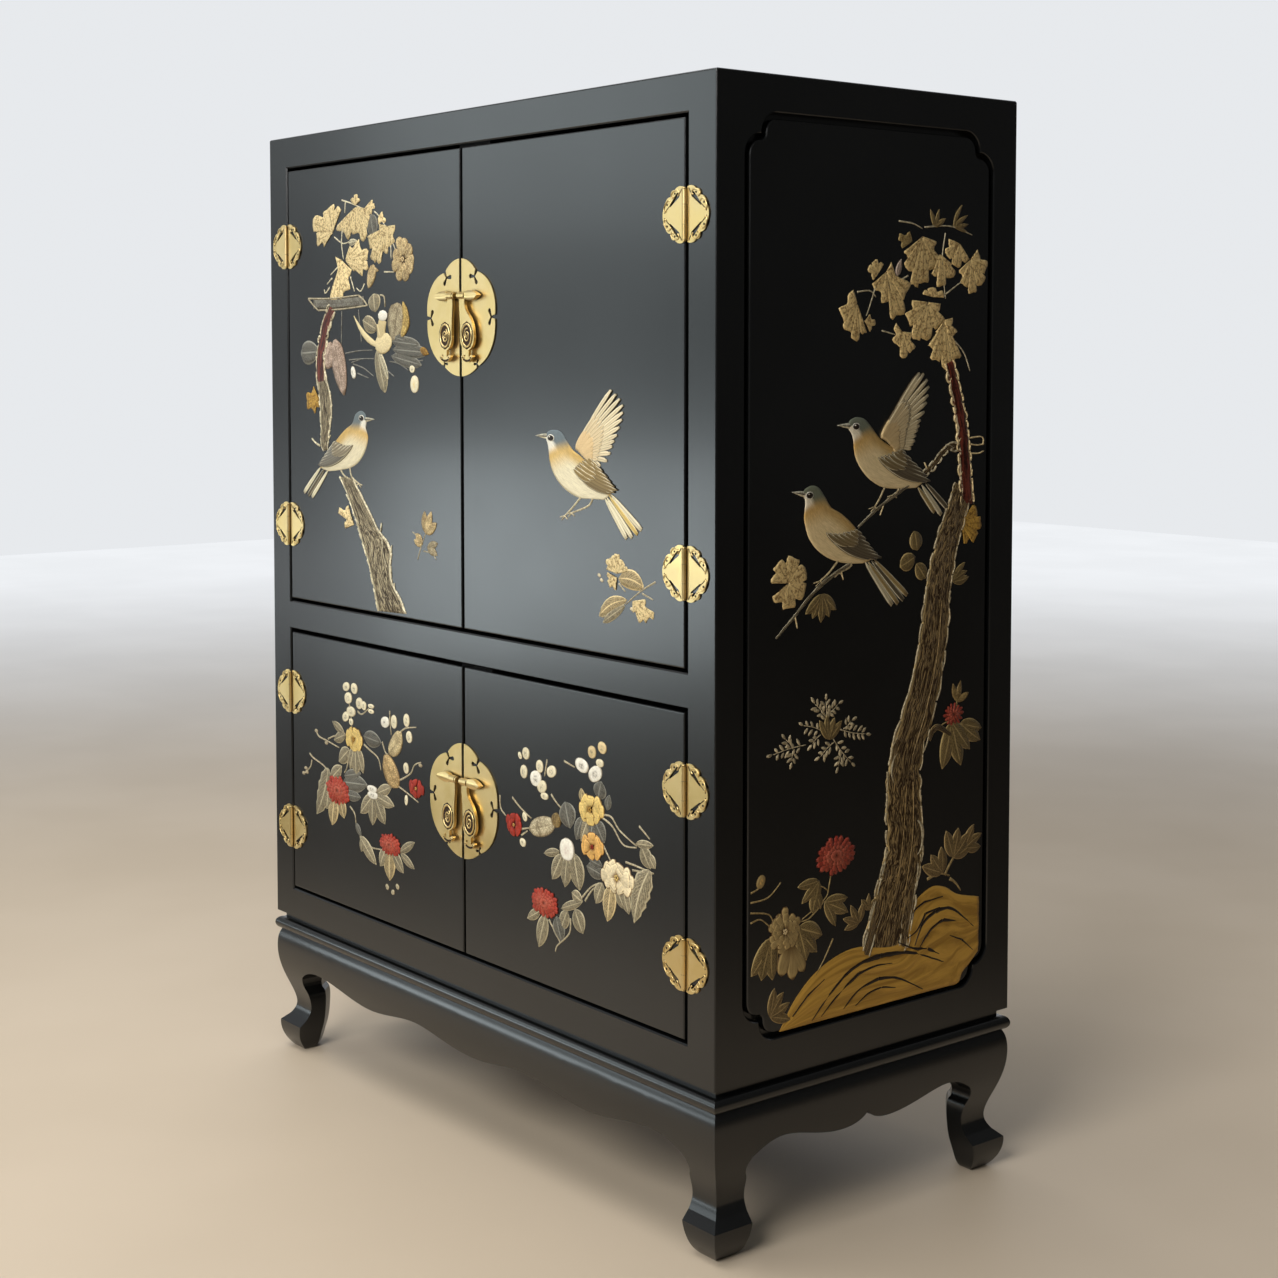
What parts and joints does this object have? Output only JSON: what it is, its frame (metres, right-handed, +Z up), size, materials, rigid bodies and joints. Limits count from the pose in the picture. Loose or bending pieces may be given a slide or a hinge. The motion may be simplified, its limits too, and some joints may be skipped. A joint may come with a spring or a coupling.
{
  "type": "lacquered entryway cabinet",
  "caption": "Black lacquered entryway cabinet on a cabriole stand: hinged doors above and below, brass face plates with drop pulls, gold bird-and-flower decoration.",
  "frame": {"origin": "on the floor, under the middle of the cabinet's overall width and depth", "axes": "+Z up, -Y out of the doors' faces, +X to the right of someone facing the doors"},
  "size_m": [1.105, 0.5554, 1.479],
  "materials": {
    "black_lacquer": "satin-gloss black lacquer over wood",
    "inside_lacquer": "matte brown-black lacquer over wood",
    "brass": "polished yellow brass, engraved",
    "steel": "plated steel strike plate",
    "catch_plastic": "brown plastic magnet case"
  },
  "bodies": {
    "case": {"back_apron": "black_lacquer", "back_moulding": "black_lacquer", "back_panel": "inside_lacquer", "bottom_board": "inside_lacquer", "bottom_rail": "black_lacquer", "front_apron": "black_lacquer", "front_moulding": "black_lacquer", "hinge_pins": "brass", "left_apron": "black_lacquer", "left_back_leg": "black_lacquer", "left_back_post": "black_lacquer", "left_frame_leaves": "brass", "left_front_leg": "black_lacquer", "left_front_post": "black_lacquer", "left_moulding": "black_lacquer", "left_side_panel": "black_lacquer", "left_side_rails": "black_lacquer", "lower_shelf": "inside_lacquer", "magnet_catches": "catch_plastic", "middle_board": "inside_lacquer", "middle_rail": "black_lacquer", "right_apron": "black_lacquer", "right_back_leg": "black_lacquer", "right_back_post": "black_lacquer", "right_frame_leaves": "brass", "right_front_leg": "black_lacquer", "right_front_post": "black_lacquer", "right_moulding": "black_lacquer", "right_side_panel": "black_lacquer", "right_side_rails": "black_lacquer", "shelf_cleats": "inside_lacquer", "top_board": "black_lacquer", "top_rail": "black_lacquer", "upper_shelf": "inside_lacquer"},
    "upper_left_door": {"upper_left_door": "black_lacquer", "upper_left_door_leaves": "brass", "upper_left_face_plate": "brass", "upper_left_pull_bar": "brass", "upper_left_strike": "steel"},
    "upper_left_drop": {"upper_left_drop": "brass"},
    "upper_right_door": {"upper_right_door": "black_lacquer", "upper_right_door_leaves": "brass", "upper_right_face_plate": "brass", "upper_right_pull_bar": "brass", "upper_right_strike": "steel"},
    "upper_right_drop": {"upper_right_drop": "brass"},
    "lower_left_door": {"lower_left_door": "black_lacquer", "lower_left_door_leaves": "brass", "lower_left_face_plate": "brass", "lower_left_pull_bar": "brass", "lower_left_strike": "steel"},
    "lower_left_drop": {"lower_left_drop": "brass"},
    "lower_right_door": {"lower_right_door": "black_lacquer", "lower_right_door_leaves": "brass", "lower_right_face_plate": "brass", "lower_right_pull_bar": "brass", "lower_right_strike": "steel"},
    "lower_right_drop": {"lower_right_drop": "brass"}
  },
  "joints": [
    {"name": "upper_left_door_hinge", "type": "hinge", "parent": "case", "child": "upper_left_door", "pos_m": [-0.4935, -0.26805, 1.085], "axis": [0, 0, -1], "range_deg": [0, 170]},
    {"name": "upper_left_drop_swing", "type": "hinge", "parent": "upper_left_door", "child": "upper_left_drop", "pos_m": [-0.0151, -0.27255, 1.2175], "axis": [-1, 0, 0], "range_deg": [0, 90]},
    {"name": "upper_right_door_hinge", "type": "hinge", "parent": "case", "child": "upper_right_door", "pos_m": [0.4935, -0.26805, 1.085], "axis": [0, 0, 1], "range_deg": [0, 170]},
    {"name": "upper_right_drop_swing", "type": "hinge", "parent": "upper_right_door", "child": "upper_right_drop", "pos_m": [0.0151, -0.27255, 1.2175], "axis": [-1, 0, 0], "range_deg": [0, 90]},
    {"name": "lower_left_door_hinge", "type": "hinge", "parent": "case", "child": "lower_left_door", "pos_m": [-0.4935, -0.26805, 0.483], "axis": [0, 0, -1], "range_deg": [0, 170]},
    {"name": "lower_left_drop_swing", "type": "hinge", "parent": "lower_left_door", "child": "lower_left_drop", "pos_m": [-0.0151, -0.27255, 0.5275], "axis": [-1, 0, 0], "range_deg": [0, 90]},
    {"name": "lower_right_door_hinge", "type": "hinge", "parent": "case", "child": "lower_right_door", "pos_m": [0.4935, -0.26805, 0.483], "axis": [0, 0, 1], "range_deg": [0, 170]},
    {"name": "lower_right_drop_swing", "type": "hinge", "parent": "lower_right_door", "child": "lower_right_drop", "pos_m": [0.0151, -0.27255, 0.5275], "axis": [-1, 0, 0], "range_deg": [0, 90]}
  ]
}
